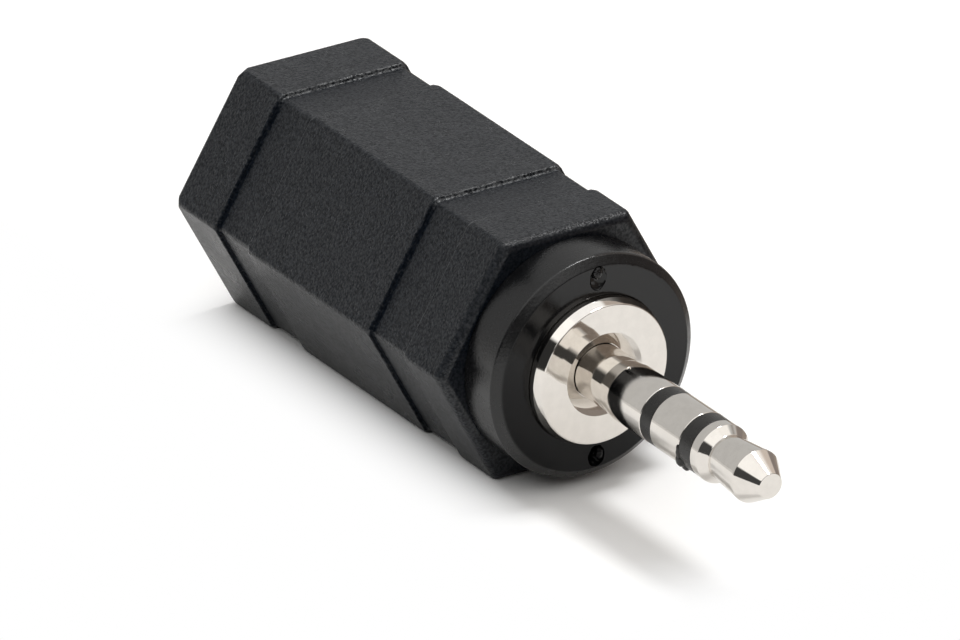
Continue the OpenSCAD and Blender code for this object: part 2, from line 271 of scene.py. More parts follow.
def finish_piece(piece, name, nodes, material, smooth=35):
    """Smooths a piece, brings it to metres, and hands it to the frame."""
    select_only(piece)
    piece.name = piece.data.name = name
    bpy.ops.object.transform_apply(location=True, rotation=True, scale=True)
    bpy.ops.object.shade_smooth_by_angle(angle=math.radians(smooth))
    apply_modifier(piece, "WEIGHTED_NORMAL", keep_sharp=True, mode="FACE_AREA", thresh=0)
    piece.scale = (MM, MM, MM)
    bpy.ops.object.transform_apply(location=True, rotation=True, scale=True)
    piece.data.materials.clear()
    piece.data.materials.append(material)
    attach(piece, "root")
    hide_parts(*nodes)
    return piece


# Materials

class Graph:
    """Adds nodes to a node tree and links them."""

    def __init__(self, tree):
        self.tree = tree
        tree.nodes.clear()

    def add(self, kind, inputs=None, **settings):
        node = self.tree.nodes.new(kind)
        for name, value in settings.items():
            setattr(node, name, value)
        for key, value in (inputs or {}).items():
            if isinstance(value, bpy.types.NodeSocket):
                self.tree.links.new(value, node.inputs[key])
            else:
                node.inputs[key].default_value = value
        return node

    def math(self, operation, *values):
        return self.add("ShaderNodeMath", dict(enumerate(values)), operation=operation).outputs[0]

    def degrees(self, angle):
        """An angle in degrees."""
        return self.math("MULTIPLY", angle, 180 / math.pi)

    def away(self, value, centre):
        """Distance of a value from another, on either side."""
        return self.math("ABSOLUTE", self.math("SUBTRACT", value, centre))

    def smooth_range(self, value, low, high, to_low=0.0, to_high=1.0):
        node = self.add("ShaderNodeMapRange", {"Value": value, "From Min": low, "From Max": high,
                                               "To Min": to_low, "To Max": to_high},
                        interpolation_type="SMOOTHSTEP")
        return node.outputs[0]

    def mix(self, share, first, second):
        node = self.add("ShaderNodeMix", data_type="RGBA")
        for socket, value in ((node.inputs[0], share), (node.inputs[6], first), (node.inputs[7], second)):
            if isinstance(value, bpy.types.NodeSocket):
                self.tree.links.new(value, socket)
            else:
                socket.default_value = value
        return node.outputs[2]

    def noise(self, vector, scale, detail=2.0, roughness=0.5):
        node = self.add("ShaderNodeTexNoise", {"Vector": vector, "Scale": scale, "Detail": detail,
                                               "Roughness": roughness})
        return node.outputs[0]


def new_material(name):
    """A node material with an empty tree, and a graph to fill it."""
    material = bpy.data.materials.new(name)
    material.use_nodes = True
    return material, Graph(material.node_tree)


def surface(graph, shader):
    """Makes a shader the material's surface."""
    graph.add("ShaderNodeOutputMaterial", {"Surface": shader.outputs[0]})


def tone(colour, factor=1.0):
    """A colour made darker or lighter, with its alpha."""
    return (*[c * factor for c in colour], 1)


def object_place(graph, stretch=(1, 1, 1)):
    """The place on the piece in millimetres, stretched along each axis."""
    place = graph.add("ShaderNodeTexCoord").outputs["Object"]
    scale = tuple(s / MM for s in stretch)
    return graph.add("ShaderNodeMapping", {"Vector": place, "Scale": scale}).outputs[0]


def around_axis(graph):
    """The place from the axis as three numbers, the distance from it, and the place as a vector."""
    place = graph.add("ShaderNodeTexCoord").outputs["Object"]
    moved = graph.add("ShaderNodeMapping", {"Vector": place, "Scale": (1 / MM,) * 3,
                                            "Location": (0, 0, -AXIS_H)}).outputs[0]
    along, aside, up = graph.add("ShaderNodeSeparateXYZ", {0: moved}).outputs
    square = graph.math("ADD", graph.math("MULTIPLY", aside, aside), graph.math("MULTIPLY", up, up))
    return (along, aside, up), graph.math("SQRT", square), moved


# Painted shade in the steps and painted highlights on their edges: shift along the axis, inner and outer
# half-width
STEP_SHADE = (0.04, 0.04, 0.16)
GROOVE_HIGHLIGHT = (0.0, 0.03, 0.09)
STEP_HIGHLIGHT = (0.03, 0.05, 0.13)

# Distance to the side at which the top flat passes into the slanting ones
TOP_EDGE_Y = (2.8, 3.2)


def line_at(graph, along, at, line, strength=1.0, wobble=0.0):
    """A line across the piece: its strength on it and nothing beside it."""
    shift, inner, outer = line
    off = graph.math("ADD", graph.away(along, SHOULDER_X + at + shift), wobble)
    return graph.smooth_range(off, inner, outer, strength, 0)


def grained_plastic(name, settings):
    """Black plastic with fine spark-eroded grain, a plain front face, painted shade in its steps and
    painted highlights on their edges.
    """
    material, graph = new_material(name)
    place = object_place(graph)
    front = SHOULDER_X + HOUSING_FRONT_AT
    along, aside, up = graph.add("ShaderNodeSeparateXYZ", {0: place}).outputs
    skin = graph.smooth_range(along, front - 0.1, front - 0.02, 1, 0.1)
    size = settings.grain_size
    pits = graph.add("ShaderNodeTexVoronoi", {"Vector": place, "Scale": 1 / size}, feature="SMOOTH_F1")
    grain = graph.noise(place, 0.9 / size, 3.0, 0.6)
    fine = graph.noise(place, 2.8 / size, 2.0, 0.5)
    height = graph.math("ADD", grain, graph.math("MULTIPLY", fine, 0.3))
    height = graph.math("SUBTRACT", height, graph.math("MULTIPLY", pits.outputs["Distance"], 0.5))
    bump = graph.add("ShaderNodeBump", {"Height": graph.math("MULTIPLY", height, skin),
                                        "Distance": settings.grain_height * MM})
    cloud = graph.noise(place, 0.5, 3.0, 0.6)
    roughness = graph.smooth_range(cloud, 0.3, 0.7, settings.roughness - 0.04, settings.roughness + 0.04)
    speckle = graph.noise(place, 0.9 / size, 2.0, 0.6)
    glint = graph.smooth_range(speckle, 0.3, 0.7, 0.2, 0.6)
    ragged = graph.math("MULTIPLY", graph.math("SUBTRACT", graph.noise(place, 6.0, 2.0, 0.6), 0.5), 0.45)
    sides = graph.smooth_range(graph.math("ABSOLUTE", aside), *TOP_EDGE_Y)
    top = graph.math("SUBTRACT", 1.0, sides)
    dark, pale = tone(settings.colour, 0.7), tone(settings.colour, 1.3)
    base = graph.mix(graph.smooth_range(grain, 0.35, 0.65), dark, pale)
    for at in (REAR_BAND_AT, MIDDLE_BAND_AT):
        # Painted shade: the steps' lines on the slanting flats reflect less, so they look dark where shade
        # falls in them
        step_shade = graph.math("MULTIPLY", line_at(graph, along, at, STEP_SHADE, 0.8, ragged), sides)
        glint = graph.math("MULTIPLY", glint, graph.math("SUBTRACT", 1.0, step_shade))
    for at in (REAR_GROOVE_AT, FRONT_GROOVE_AT):
        broken = graph.smooth_range(fine, 0.35, 0.6)
        # Painted highlight: a broken pale line along each groove's edge, where the edge catches the light
        edge_highlight = graph.math("MULTIPLY", line_at(graph, along, at, GROOVE_HIGHLIGHT), broken)
        base = graph.mix(edge_highlight, base, tone(settings.painted_highlight_colour))
    for at in (REAR_BAND_AT, MIDDLE_BAND_AT):
        broken = graph.smooth_range(speckle, 0.4, 0.6)
        # Painted highlight: a broken pale line on the top flat's step edges only, where they catch the
        # light from above
        edge_highlight = graph.math("MULTIPLY", line_at(graph, along, at, STEP_HIGHLIGHT), broken)
        base = graph.mix(graph.math("MULTIPLY", edge_highlight, top), base, tone(settings.painted_highlight_colour))
    surface(graph, graph.add("ShaderNodeBsdfPrincipled", {
        "Base Color": base, "Roughness": roughness, "Normal": bump.outputs[0],
        "Specular IOR Level": glint}))
    return material


def collar_plastic(name, settings):
    """Black plastic, polished on the collar's face and lightly grained from its edge outwards; the face's
    reflection is painted weaker towards the lower left, as painted shade.
    """
    material, graph = new_material(name)
    (along, aside, up), out, moved = around_axis(graph)
    outside = graph.smooth_range(out, 4.3, 4.5)
    uneven = graph.noise(moved, 2.5, 4.0, 0.6)
    grain = graph.noise(moved, 9.0, 3.0, 0.6)
    height = graph.math("ADD", graph.math("MULTIPLY", uneven, 0.15), graph.math("MULTIPLY", grain, outside))
    bump = graph.add("ShaderNodeBump", {"Height": height, "Distance": 0.01 * MM})
    dark, pale = tone(settings.colour, 0.85), tone(settings.colour, 1.2)
    base = graph.mix(graph.smooth_range(uneven, 0.35, 0.65), dark, pale)
    rough = settings.roughness
    roughness = graph.math("ADD", graph.math("MULTIPLY", outside, 0.1),
                           graph.smooth_range(uneven, 0.3, 0.7, rough - 0.04, rough + 0.04))
    # Painted shade: the face reflects less towards the lower left and more towards the upper right; the
    # grained edge keeps its own stronger gloss
    side = graph.math("ADD", graph.math("MULTIPLY", aside, 0.6), graph.math("MULTIPLY", up, 0.8))
    gloss_and_painted_shade = graph.math("MAXIMUM", graph.smooth_range(side, -4.5, 4.5, 0.16, 0.45),
                       graph.math("MULTIPLY", outside, 0.55))
    surface(graph, graph.add("ShaderNodeBsdfPrincipled", {
        "Base Color": base, "Roughness": roughness, "Normal": bump.outputs[0],
        "Specular IOR Level": gloss_and_painted_shade}))
    return material


def smooth_plastic(name, colour, roughness, waviness=0.004):
    """Black plastic from a polished tool, with a faint unevenness."""
    material, graph = new_material(name)
    place = object_place(graph)
    uneven = graph.noise(place, 3.0, 4.0, 0.6)
    fine = graph.noise(place, 14.0, 2.0, 0.5)
    height = graph.math("ADD", uneven, graph.math("MULTIPLY", fine, 0.2))
    bump = graph.add("ShaderNodeBump", {"Height": height, "Strength": 1.0, "Distance": waviness * MM})
    base = graph.mix(graph.smooth_range(uneven, 0.35, 0.65), tone(colour, 0.85), tone(colour, 1.2))
    surface(graph, graph.add("ShaderNodeBsdfPrincipled", {
        "Base Color": base, "Normal": bump.outputs[0],
        "Roughness": graph.smooth_range(uneven, 0.3, 0.7, roughness - 0.05, roughness + 0.05),
        "Specular IOR Level": 0.5}))
    return material


def turned_metal(name, settings, roughness, mark_height):
    """Bright nickel plate over fine turning marks, which run round the axis."""
    material, graph = new_material(name)
    (along, aside, up), out, moved = around_axis(graph)
    wobble = graph.math("MULTIPLY", graph.noise(moved, 1.2, 2.0, 0.5), 0.02)
    line = graph.math("ADD", graph.math("ADD", along, out), wobble)
    marks = graph.add("ShaderNodeTexNoise", {"W": line, "Scale": 26.0, "Detail": 2.0, "Roughness": 0.6},
                      noise_dimensions="1D").outputs[0]
    smudge = graph.noise(moved, 2.2, 3.0, 0.6)
    height = graph.math("ADD", marks, graph.math("MULTIPLY", smudge, 0.4))
    bump = graph.add("ShaderNodeBump", {"Height": height, "Strength": 1.0, "Distance": mark_height * MM})
    plate = settings.metal_colour
    base = graph.mix(graph.smooth_range(smudge, 0.3, 0.7), tone(plate, 0.95), tone(plate))
    surface(graph, graph.add("ShaderNodeBsdfPrincipled", {
        "Base Color": base, "Metallic": 1.0, "Normal": bump.outputs[0],
        "Roughness": graph.smooth_range(smudge, 0.3, 0.7, roughness * 0.8, roughness * 1.25)}))
    return material


def sheet_metal(name, colour, roughness):
    """Punched and bent strip, with rolling marks along it."""
    material, graph = new_material(name)
    place = object_place(graph, (1, 12, 12))
    rolled = graph.noise(place, 1.5, 3.0, 0.6)
    bump = graph.add("ShaderNodeBump", {"Height": rolled, "Strength": 1.0, "Distance": 0.002 * MM})
    base = graph.mix(graph.smooth_range(rolled, 0.3, 0.7), tone(colour, 0.85), tone(colour))
    surface(graph, graph.add("ShaderNodeBsdfPrincipled", {
        "Base Color": base, "Metallic": 1.0, "Normal": bump.outputs[0],
        "Roughness": graph.smooth_range(rolled, 0.3, 0.7, roughness * 0.8, roughness * 1.2)}))
    return material


def laminate(name, colour):
    """Brown punched board."""
    material, graph = new_material(name)
    place = object_place(graph)
    fibre = graph.noise(place, 8.0, 4.0, 0.7)
    bump = graph.add("ShaderNodeBump", {"Height": fibre, "Strength": 1.0, "Distance": 0.01 * MM})
    base = graph.mix(graph.smooth_range(fibre, 0.3, 0.7), tone(colour, 0.7), tone(colour))
    surface(graph, graph.add("ShaderNodeBsdfPrincipled", {
        "Base Color": base, "Normal": bump.outputs[0],
        "Roughness": graph.smooth_range(fibre, 0.3, 0.7, 0.55, 0.75)}))
    return material


# Settings

def length(name, description, default, low, high):
    """A length in millimetres, which no unit of the scene fits."""
    return bpy.props.FloatProperty(name=name, description=description + ", in mm", default=default,
                                   min=low, max=high, unit="NONE", precision=3)


def share(name, description, default, low, high):
    """A number between two ends, shown as a slider."""
    return bpy.props.FloatProperty(name=name, description=description, default=default, min=low, max=high,
                                   subtype="FACTOR")


def colour(name, description, default):
    """A colour of a finish."""
    return bpy.props.FloatVectorProperty(name=name, description=description, default=default, size=3,
                                         min=0, max=1, subtype="COLOR")


class HousingSettings(bpy.types.PropertyGroup):
    band_af: length("Width across flats", "Width of the hexagonal bands across their flats", 10.4, 9, 12)
    groove_depth: length("Groove depth", "Depth of the two grooves between the bands", 0.16, 0.1, 0.3)
    step_r: length("Step radius", "Radius of the steps between bands and grooves", 0.09, 0.085, 0.8)
    rear_r: length("Rear radius", "Radius on the flats at the socket end", 0.2, 0.1, 0.5)
    front_r: length("Front radius", "Radius on the flats at the plug end", 0.4, 0.2, 0.7)
    rear_corner_r: length("Rear corners", "Turned rounding at the socket end's corners", 0.45, 0.15, 0.7)
    corner_r: length("Corner radius", "Radius on the six long edges", 0.2, 0.1, 0.8)
    grain_size: length("Grain size", "Size of one grain of the surface", 0.1, 0.03, 0.5)
    grain_height: length("Grain height", "Height of the grain", 0.032, 0, 0.1)
    roughness: share("Roughness", "Roughness of the plastic", 0.3, 0.1, 1)
    colour: colour("Colour", "Colour of the housing's plastic", (0.0025, 0.0045, 0.008))
    # Painted highlight: the colour of the pale lines painted along the step edges, where they catch the
    # light
    painted_highlight_colour: colour("Painted highlight colour", "Colour of the painted highlights on the edges across the housing", (0.08, 0.085, 0.09))


class CollarSettings(bpy.types.PropertyGroup):
    diameter: length("Diameter", "Diameter of the round collar", 9.6, 8.8, 10)
    cone_depth: length("Cone depth", "Length of the shallow cone on the right half's edge", 0.28, 0.1, 0.5)
    cone_width: length("Cone width", "Width of the shallow cone on the right half's edge", 0.38, 0.1, 0.6)
    fillet: length("Fillet", "Radius on the left half's edge", 0.44, 0.2, 0.6)
    notch_w: length("Notch width", "Width of the notches at the top and bottom", 0.8, 0.5, 1.1)
    top_notch: length("Top notch", "Depth of the soft notch at the top", 0.16, 0.05, 0.5)
    low_notch: length("Bottom notch", "Depth of the notch at the bottom", 0.45, 0.1, 0.5)
    roughness: share("Roughness", "Roughness of the plastic", 0.15, 0.1, 1)
    colour: colour("Colour", "Colour of the collar's plastic", (0.0022, 0.0024, 0.003))


class PlugSettings(bpy.types.PropertyGroup):
    metal_colour: colour("Metal colour", "Colour of the plating", (0.80, 0.765, 0.72))
    insulator_colour: colour("Insulator colour", "Colour of the insulating rings", (0.012, 0.011, 0.010))
    mark_height: length("Turning marks", "Height of the turning marks", 0.0002, 0, 0.01)
    edge_r: length("Edge radius", "Radius on the edges of the contacts", 0.04, 0.01, 0.1)


class StageSettings(bpy.types.PropertyGroup):
    floor_size: bpy.props.FloatProperty(name="Floor size", description="Width of the floor", default=3.0,
                                        unit="LENGTH")
    floor_colour: colour("Floor colour", "Colour of the floor", (0.83, 0.825, 0.815))
    light: bpy.props.FloatProperty(name="Light", description="Brightness of the studio", default=1.0)


class AdapterSettings(bpy.types.PropertyGroup):
    housing: bpy.props.PointerProperty(type=HousingSettings, name="Housing", description="Housing")
    collar: bpy.props.PointerProperty(type=CollarSettings, name="Collar", description="Collar")
    plug: bpy.props.PointerProperty(type=PlugSettings, name="Plug", description="Plug")
    stage: bpy.props.PointerProperty(type=StageSettings, name="Stage", description="Stage")


# Pieces

def step_down(at, high, s):
    """A rounded step of the grooves' depth in the housing's outline, down towards the plug."""
    half = math.sqrt(s.step_r * s.groove_depth - s.groove_depth ** 2 / 4)
    turn = math.degrees(math.asin(half / s.step_r))
    low = high - s.groove_depth
    return (arc(at - half, high - s.step_r, s.step_r, 90, 90 - turn, 5)
            + arc(at + half, low + s.step_r, s.step_r, 270 - turn, 270, 5)[1:])


def step_up(at, high, s):
    """The same step, up towards the plug."""
    return [(2 * at - x, y) for x, y in reversed(step_down(at, high, s))]


def hexagon(skin, corner_r):
    """A hexagonal bar along the axis, from an outline of place and half width across flats."""
    bpy.ops.object.select_all(action="DESELECT")
    x, y = skin[0]
    bpy.ops.mesh.primitive_circle_add(vertices=6, radius=y / math.cos(HALF_SIDE), fill_type="NGON",
                                      location=(SHOULDER_X + x, 0, AXIS_H), rotation=(0, math.pi / 2, 0))
    piece = bpy.context.active_object
    bpy.ops.object.transform_apply(location=True, rotation=True, scale=True)
    edit("FACE")
    for (x0, y0), (x1, y1) in zip(skin, skin[1:]):
        bpy.ops.mesh.extrude_region_move(TRANSFORM_OT_translate={"value": (x1 - x0, 0, 0)})
        bpy.ops.transform.resize(value=(1, y1 / y0, y1 / y0), center_override=(SHOULDER_X + x1, 0, AXIS_H))
    mesh = piece.data

    def lengthwise(edge):
        start, end = edge.vertices
        return abs(mesh.vertices[start].co.x - mesh.vertices[end].co.x) > WELD

    choose(piece, "EDGE", lengthwise)
    bpy.ops.mesh.bevel(offset=corner_r * math.tan(HALF_SIDE), offset_type="OFFSET", segments=6,
                       profile=0.5, clamp_overlap=False)
    bpy.ops.mesh.select_all(action="SELECT")
    bpy.ops.mesh.normals_make_consistent(inside=False)
    bpy.ops.object.mode_set(mode="OBJECT")
    return piece


class ADAPTER_OT_housing(bpy.types.Operator):
    """Models the hexagonal housing, with its bands, grooves, cavity and bush hole"""
    bl_idname = "adapter.housing"
    bl_label = "Housing"

    def execute(self, context):
        s = context.scene.adapter.housing
        high = s.band_af / 2
        rear, front = HOUSING_REAR_AT, HOUSING_FRONT_AT
        skin = (arc(rear + s.rear_r, high - s.rear_r, s.rear_r, 180, 90, 6)
                + step_down(REAR_BAND_AT, high, s) + step_up(REAR_GROOVE_AT, high, s)
                + step_down(MIDDLE_BAND_AT, high, s) + step_up(FRONT_GROOVE_AT, high, s)
                + arc(front - s.front_r, high - s.front_r, s.front_r, 90, 0, 7))
        piece = hexagon(skin, s.corner_r)
        corner = (high - s.corner_r) / math.cos(HALF_SIDE) + s.corner_r + CORNER_CLEARANCE
        low = corner - s.groove_depth / math.cos(HALF_SIDE) - CORNER_BREAK
        run = CORNER_RUN
        turn_r = s.rear_corner_r
        cut(piece, turned("corner tool", [(rear - 1, corner + 1), (rear - 1, corner - turn_r)]
                          + arc(rear + turn_r, corner - turn_r, turn_r, 180, 90, 8)
                          + [(rear + turn_r, corner + 1)]))
        for start, end in ((REAR_BAND_AT, REAR_GROOVE_AT), (MIDDLE_BAND_AT, FRONT_GROOVE_AT)):
            cut(piece, turned("groove tool", [
                (start + run, low), (end - run, low), (end + run, corner), (end + run, corner + 1),
                (start - run, corner + 1), (start - run, corner)]))
        cut(piece, turned("cavity tool", rounded([
            (rear - 1, 0, 0), (rear - 1, BUSH_R, 0), (CAVITY_REAR_AT, BUSH_R, 0),
            (CAVITY_REAR_AT, CAVITY_R, 0.05), (front + 1, CAVITY_R, 0), (front + 1, 0, 0)],
            closed=False), 128, close=False))
        finish_piece(piece, "housing", ["hex_shell"],
                     grained_plastic("grained black plastic", s))
        return {"FINISHED"}


class ADAPTER_OT_collar(bpy.types.Operator):
    """Models the round collar, with its two mould halves' edges, and the notches and stubs in its face"""
    bl_idname = "adapter.collar"
    bl_label = "Collar"

    def execute(self, context):
        s = context.scene.adapter.collar
        face, radius = COLLAR_FACE_AT, s.diameter / 2
        piece = turned("collar", rounded([
            (SPIGOT_REAR_AT, NECK_R, 0), (SPIGOT_REAR_AT, CAVITY_R, 0), (HOUSING_FRONT_AT, CAVITY_R, 0),
            (HOUSING_FRONT_AT, radius, 0.05), (face - s.cone_depth, radius, 0.12),
            (face, radius - s.cone_width, 0.08), (face, RING_R, 0.06), (RING_REAR_AT, RING_R, 0),
            (RING_REAR_AT, NECK_R, 0)] + grips()[::-1], 5))
        r = s.fillet
        cut(piece, turned("fillet tool", [(face - r - 0.03, radius + 1), (face - r - 0.03, radius + 0.01)]
                          + arc(face - r, radius - r, r, 87, 3, 10)
                          + [(face + 0.01, radius - r - 0.05), (face + 1, radius - r - 0.05),
                             (face + 1, radius + 1)], 96, angle=math.pi))
        for ((x, y, z), tall, rough, seed), depth in ((TOP_NOTCH, s.top_notch), (LOW_NOTCH, s.low_notch)):
            cut(piece, lump((face + x, y, z), (depth, s.notch_w / 2, tall), rough, seed))
        for (x, y, z), size, rough, seed in COLLAR_STUBS:
            cut(piece, lump((face + x, y, z), size, rough, seed), "UNION")
        finish_piece(piece, "collar", ["plug_collar"],
                     collar_plastic("smooth black plastic", s), 30)
        return {"FINISHED"}


class ADAPTER_OT_shoulder_ring(bpy.types.Operator):
    """Models the bright turned ring in the collar's face"""
    bl_idname = "adapter.shoulder_ring"
    bl_label = "Shoulder ring"

    def execute(self, context):
        s = context.scene.adapter.plug
        piece = turned("ring", rounded([
            (RING_REAR_AT, NECK_R, 0), (RING_REAR_AT, RING_R, 0), (RING_BEVEL_AT, RING_R, 0.02),
            (0.0, RING_R - RING_BEVEL, 0.07), (0.0, COUNTERSINK_R, 0.03),
            (COUNTERSINK_FLOOR_AT, COUNTERSINK_FLOOR_R, 0.02), (RING_GRIP_AT, COUNTERSINK_FLOOR_R, 0),
            (RING_GRIP_AT, NECK_R, 0)]), 256)
        finish_piece(piece, "shoulder_disc", ["shoulder_ring"],
                     turned_metal("turned shoulder metal", s, 0.05, s.mark_height), 15)
        return {"FINISHED"}


class ADAPTER_OT_contacts(bpy.types.Operator):
    """Models the plug's sleeve, ring and tip contacts"""
    bl_idname = "adapter.contacts"
    bl_label = "Contacts"

    def execute(self, context):
        s = context.scene.adapter.plug
        e = s.edge_r
        metal = turned_metal("turned plug metal", s, 0.06, s.mark_height)
        sleeve = turned("sleeve", rounded(
            [(SLEEVE_TAIL_AT, SLEEVE_BORE_R, 0), (SLEEVE_TAIL_AT, NECK_R, 0)] + grips()
            + [(NECK_END_AT, NECK_R, 0.15), (SLEEVE_AT, PLUG_R, 0.3), (INSULATOR_1_AT, PLUG_R, e),
               (INSULATOR_1_AT, SLEEVE_BORE_R, 0)]))
        finish_piece(sleeve, "sleeve_contact", ["plug_sleeve"], metal)
        ring = turned("ring", rounded([
            (RING_TAIL_AT, RING_INSULATOR_R, 0), (RING_TAIL_AT, RING_TUBE_R, 0),
            (RING_CONTACT_AT, RING_TUBE_R, 0), (RING_CONTACT_AT, PLUG_R, e),
            (INSULATOR_2_AT, PLUG_R, e), (INSULATOR_2_AT, RING_INSULATOR_R, 0)]))
        finish_piece(ring, "ring_contact", ["plug_ring"], metal)
        tip = turned("tip", rounded(
            [(RIVET_AT, 0, 0), (RIVET_AT, RIVET_R - 0.2, 0), (RIVET_AT + 0.15, RIVET_R, 0),
             (TIP_TAIL_AT, RIVET_R, 0), (TIP_TAIL_AT, ROD_R, 0), (TIP_AT, ROD_R, 0), (TIP_AT, PLUG_R, e)]
            + list(TIP_PROFILE) + [(TIP_PROFILE[-1][0], 0, 0)], closed=False), close=False)
        finish_piece(tip, "tip_contact", ["plug_tip"], metal)
        return {"FINISHED"}


class ADAPTER_OT_insulators(bpy.types.Operator):
    """Models the two black insulating rings, the second with its spot of moulding flash"""
    bl_idname = "adapter.insulators"
    bl_label = "Insulators"

    def execute(self, context):
        s = context.scene.adapter.plug
        black = smooth_plastic("black insulating plastic", s.insulator_colour, 0.3, 0.006)
        radius, e = PLUG_R - INSULATOR_DROP, INSULATOR_EDGE_R
        first = turned("insulator", rounded([
            (SLEEVE_TAIL_AT, RING_TUBE_R, 0), (SLEEVE_TAIL_AT, SLEEVE_BORE_R, 0),
            (INSULATOR_1_AT, SLEEVE_BORE_R, 0), (INSULATOR_1_AT, radius, e),
            (RING_CONTACT_AT, radius, e), (RING_CONTACT_AT, RING_TUBE_R, 0)]))
        finish_piece(first, "sleeve_ring_insulator", ["sleeve_insulator"], black)
        second = turned("insulator", rounded([
            (RING_TAIL_AT, ROD_R, 0), (RING_TAIL_AT, RING_INSULATOR_R, 0),
            (INSULATOR_2_AT, RING_INSULATOR_R, 0), (INSULATOR_2_AT, radius, e),
            (TIP_AT, radius, e), (TIP_AT, ROD_R, 0)]))
        for mark in INSULATOR_FLASH:
            cut(second, lump(*mark), "UNION")
        finish_piece(second, "ring_tip_insulator", ["ring_insulator"], black)
        return {"FINISHED"}


class ADAPTER_OT_entry_bush(bpy.types.Operator):
    """Models the bright entry bush of the socket"""
    bl_idname = "adapter.entry_bush"
    bl_label = "Entry bush"

    def execute(self, context):
        s = context.scene.adapter.plug
        rear = HOUSING_REAR_AT
        piece = turned("bush", rounded([
            (rear, BUSH_MOUTH_R, 0.05), (rear, BUSH_R, 0.08), (CAVITY_REAR_AT, BUSH_R, 0),
            (CAVITY_REAR_AT, FLANGE_R, 0), (FLANGE_FRONT_AT, FLANGE_R, 0), (FLANGE_FRONT_AT, BUSH_R, 0),
            (BUSH_FRONT_AT, BUSH_R, 0), (BUSH_FRONT_AT, SOCKET_R, 0), (rear + 0.25, SOCKET_R, 0.1)]))
        finish_piece(piece, "entry_bush", ["socket_bush"],
                     turned_metal("turned bush metal", s, 0.16, s.mark_height))
        return {"FINISHED"}


CARRIER_BLACK = (0.03, 0.03, 0.032)
SPRING_BRONZE = (0.75, 0.55, 0.3)
TINNED_BRASS = (0.78, 0.66, 0.4)
BOARD_BROWN = (0.35, 0.2, 0.09)
SOLDER_GREY = (0.72, 0.72, 0.74)


class ADAPTER_OT_inner_parts(bpy.types.Operator):
    """Finishes the pieces inside the housing: carrier, springs, tags, washers and solder"""
    bl_idname = "adapter.inner_parts"
    bl_label = "Inner parts"

    def execute(self, context):
        carrier = smooth_plastic("carrier plastic", CARRIER_BLACK, 0.5)
        bronze = sheet_metal("spring bronze strip", SPRING_BRONZE, 0.3)
        brass = sheet_metal("tinned brass strip", TINNED_BRASS, 0.3)
        board = laminate("punched board", BOARD_BROWN)
        solder = sheet_metal("solder bead", SOLDER_GREY, 0.25)
        finishes = (
            (carrier, "carrier_plastic", ("socket_carrier",)),
            (bronze, "spring_bronze", ("ring_spring", "tip_spring")),
            (brass, "tinned_brass", ("sleeve_lug", "ring_lug", "tip_lug", "bush_tag")),
            (board, "washer_board", ("ring_washer", "tip_washer")),
            (solder, "solder", ("sleeve_joint", "ring_joint", "tip_joint")))
        for material, slot, names in finishes:
            for name in names:
                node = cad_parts[name]
                node.data.materials.clear()
                node.data.materials.append(material)
        return {"FINISHED"}


# Stage

# The studio as directions in degrees: azimuth from, to, elevation from, to, softness, brightness, tint
STUDIO = (
    (72, 126, -12, 22, 4, 0.28, (1.0, 0.86, 0.79)),
    (84, 126, 22, 57, 4, 0.72, (1.0, 0.88, 0.79)),
    (106, 126, 20, 57, 4, 0.52, (1.0, 0.88, 0.79)),
    (22, 78, -14, 34, 4, 0.28, (1.0, 0.87, 0.78)),
    (-34, 22, -6, 26, 3, 0.12, (1.0, 0.95, 0.9)),
    (-86, -34, -1, 32, 3, 0.06, (1.0, 1.0, 1.0)),
    (-118, -84, -1, 40, 3, 0.03, (1.0, 1.0, 1.0)),
    (90, 270, 57, 91, 3, 1.15, (1.0, 1.0, 1.0)),
    (-112, -82, 41, 91, 3, 1.3, (1.0, 1.0, 0.98)),
    (-86, 22, 33, 91, 3, 1.2, (1.0, 0.99, 0.97)),
    (18, 92, 42, 91, 4, 1.15, (1.0, 0.98, 0.95)),
)
HORIZON = (0.58, 0.575, 0.565)

# The key light in it: azimuth, elevation, half its width and its softness in degrees, brightness
KEY_LIGHT = (93, 73, 7.5, 1.5, 27.0)

# The paper on the floor: the side where it ends, and the strip beside the object in which its shadow fades
PAPER_EDGE_Y = (17, 23)
PAPER_EDGE_X = (-43, -37)
SHADOW_FADE_Y = (-3.0, -7.25)
SHADOW_FADE_X = (10, 16)
TABLE_COLOUR = (0.28, 0.24, 0.21)

# How much of the paper's glow a mirrored ray sees
MIRRORED_GLOW = 0.3

WHITE = (1, 1, 1, 1)

# The camera: the place it looks at, its own axes, how far back it stands, its lens and sensor
CAMERA_AIM = (1.538, -3.582, 6.979)
CAMERA_RIGHT = (0.56052, 0.82760, 0.03006)
CAMERA_UP = (-0.37838, 0.22364, 0.89823)
CAMERA_BACK = (0.73665, -0.51485, 0.43850)
CAMERA_DISTANCE = 1000
CAMERA_LENS = 951.3
CAMERA_SENSOR = 36
CAMERA_CLIP = (0.05, 20)


